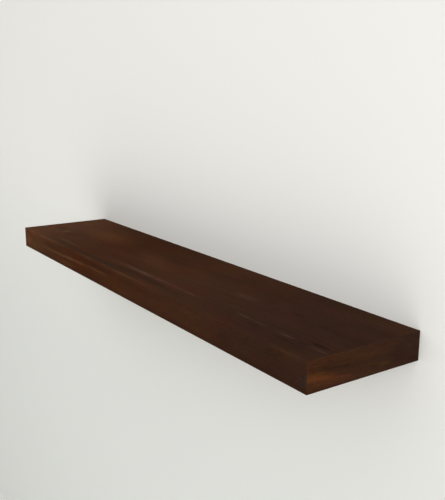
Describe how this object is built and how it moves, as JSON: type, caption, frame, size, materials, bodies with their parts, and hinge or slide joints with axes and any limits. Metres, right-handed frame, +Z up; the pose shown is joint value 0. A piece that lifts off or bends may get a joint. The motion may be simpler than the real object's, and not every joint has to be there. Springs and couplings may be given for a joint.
{
  "type": "floating wall shelf",
  "caption": "Long floating wall shelf: a hollow dark walnut veneered box that slides over steel rods on a concealed wall rail.",
  "frame": {"origin": "on the wall plane, at the middle of the shelf's length and height", "axes": "+X to the right along the shelf's length, +Y into the wall, +Z up"},
  "size_m": [1.143, 0.2782, 0.05],
  "materials": {
    "walnut_veneer": "matt oiled dark walnut veneer on fibreboard",
    "pine": "planed, bare",
    "kraft_paper": "bare kraft paper",
    "zinc_plated_steel": "bright zinc plated",
    "yellow_zinc_steel": "yellow passivated zinc plate",
    "grey_nylon": "moulded, matt",
    "brass": "turned",
    "blackened_steel": "black oxide"
  },
  "bodies": {
    "bracket": {"wall_rail": "zinc_plated_steel", "support_rod_1": "zinc_plated_steel", "support_rod_2": "zinc_plated_steel", "support_rod_3": "zinc_plated_steel", "support_rod_4": "zinc_plated_steel", "wall_screw_1": "yellow_zinc_steel", "wall_screw_2": "yellow_zinc_steel", "wall_screw_3": "yellow_zinc_steel", "wall_screw_4": "yellow_zinc_steel", "wall_screw_5": "yellow_zinc_steel", "wall_plug_1": "grey_nylon", "wall_plug_2": "grey_nylon", "wall_plug_3": "grey_nylon", "wall_plug_4": "grey_nylon", "wall_plug_5": "grey_nylon"},
    "shelf": {"top_panel": "walnut_veneer", "bottom_panel": "walnut_veneer", "front_panel": "walnut_veneer", "left_end_panel": "walnut_veneer", "right_end_panel": "walnut_veneer", "front_batten": "pine", "rear_batten": "pine", "left_batten": "pine", "right_batten": "pine", "rod_block_1": "pine", "rod_block_2": "pine", "rod_block_3": "pine", "rod_block_4": "pine", "honeycomb_core_1": "kraft_paper", "honeycomb_core_2": "kraft_paper", "honeycomb_core_3": "kraft_paper", "honeycomb_core_4": "kraft_paper", "honeycomb_core_5": "kraft_paper", "lock_insert_left": "brass", "lock_insert_right": "brass"},
    "left_lock": {"lock_screw_left": "blackened_steel"},
    "right_lock": {"lock_screw_right": "blackened_steel"}
  },
  "joints": [
    {"name": "shelf_slide", "type": "slide", "parent": "bracket", "child": "shelf", "axis": [0, -1, 0], "range_m": [0, 0.18]},
    {"name": "left_lock_travel", "type": "slide", "parent": "shelf", "child": "left_lock", "axis": [0, 0, -1], "range_m": [0, 0.004]},
    {"name": "right_lock_travel", "type": "slide", "parent": "shelf", "child": "right_lock", "axis": [0, 0, -1], "range_m": [0, 0.004]}
  ]
}
